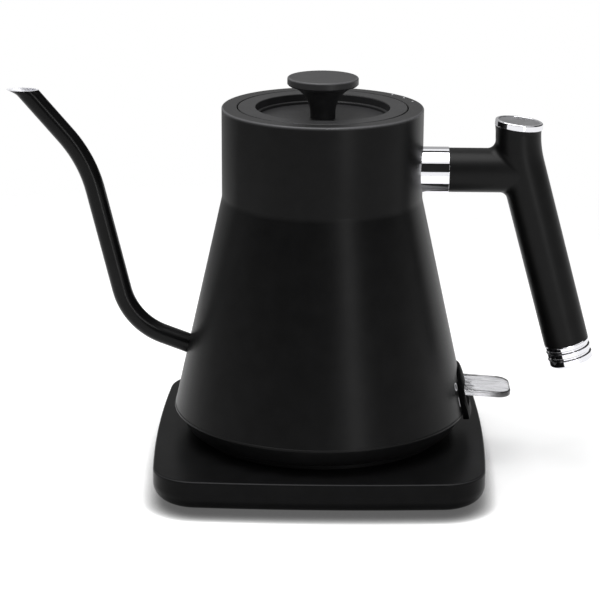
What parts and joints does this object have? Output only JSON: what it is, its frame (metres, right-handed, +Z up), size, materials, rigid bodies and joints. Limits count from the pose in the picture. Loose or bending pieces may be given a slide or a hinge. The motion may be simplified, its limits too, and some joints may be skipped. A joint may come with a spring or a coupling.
{
  "type": "electric kettle",
  "caption": "Electric gooseneck kettle: conical steel body, thin curved spout, side handle, lift-off lid with knob and a clear switch lever, on a square power base.",
  "frame": {"origin": "on the worktop, under the middle of the power base, on the kettle's axis", "axes": "+Z up along the kettle's axis, +X towards the handle and the switch, -X towards the spout, +Y to the back where the lead enters"},
  "size_m": [0.2828, 0.1616, 0.192],
  "materials": {
    "body_paint": "matte black powder coat on steel",
    "lid_plastic": "fine matte black",
    "base_plastic": "fine matte black",
    "cup_plastic": "satin black",
    "handle_plastic": "soft matte black",
    "bezel_plastic": "gloss black",
    "inner_plastic": "moulded black",
    "clear_plastic": "clear, polished",
    "lamp_plastic": "diffused lens",
    "bright_chrome": "mirror bright",
    "cap_grey": "mid grey satin",
    "inner_steel": "fine brushed stainless",
    "screw_steel": "zinc plated",
    "spreader_aluminium": "rolled",
    "contact_brass": "plain",
    "foot_rubber": "matte",
    "gasket_rubber": "translucent silicone"
  },
  "bodies": {
    "base": {"base_cover": "base_plastic", "base_plate": "base_plastic", "base_feet": "foot_rubber", "base_screws": "screw_steel", "connector_post": "inner_plastic", "connector_contacts": "contact_brass", "cord_gland": "inner_plastic"},
    "shutter": {"connector_shutter": "inner_plastic"},
    "kettle": {"body_shell": "body_paint", "rim_collar": "lid_plastic", "spout_tube": "body_paint", "base_cup": "cup_plastic", "weld_studs": "screw_steel", "cup_screws": "screw_steel", "heating_plate": "inner_steel", "heat_spreader": "spreader_aluminium", "heating_element": "inner_steel", "control_unit": "inner_plastic", "earth_pin": "contact_brass", "contact_ring": "contact_brass", "bimetal_disc": "contact_brass", "indicator_lamp": "lamp_plastic", "steam_tube": "inner_steel", "handle_ferrule": "bright_chrome", "handle_body": "handle_plastic", "handle_cap_ring": "bright_chrome", "handle_cap_disc": "cap_grey", "handle_end_cap": "bright_chrome", "handle_bolt": "screw_steel", "handle_saddle": "inner_steel", "switch_bezel": "bezel_plastic", "switch_pivot": "screw_steel"},
    "lid": {"lid_cover": "lid_plastic", "lid_knob": "lid_plastic", "knob_screw": "screw_steel", "lid_liner": "inner_steel", "lid_gasket": "gasket_rubber"},
    "switch": {"switch_lever": "clear_plastic", "switch_rocker": "inner_plastic"}
  },
  "joints": [
    {"name": "kettle_swivel", "type": "hinge", "parent": "base", "child": "shutter", "pos_m": [0, 0, 0.0179], "axis": [0, 0, 1], "continuous": true},
    {"name": "kettle_lift", "type": "slide", "parent": "shutter", "child": "kettle", "axis": [0, 0, 1], "range_m": [0, 0.06]},
    {"name": "lid_lift", "type": "slide", "parent": "kettle", "child": "lid", "axis": [0, 0, 1], "range_m": [0, 0.05]},
    {"name": "switch_toggle", "type": "hinge", "parent": "kettle", "child": "switch", "pos_m": [0.058, 0, 0.0403], "axis": [0, 1, 0], "range_deg": [0, 16]}
  ]
}
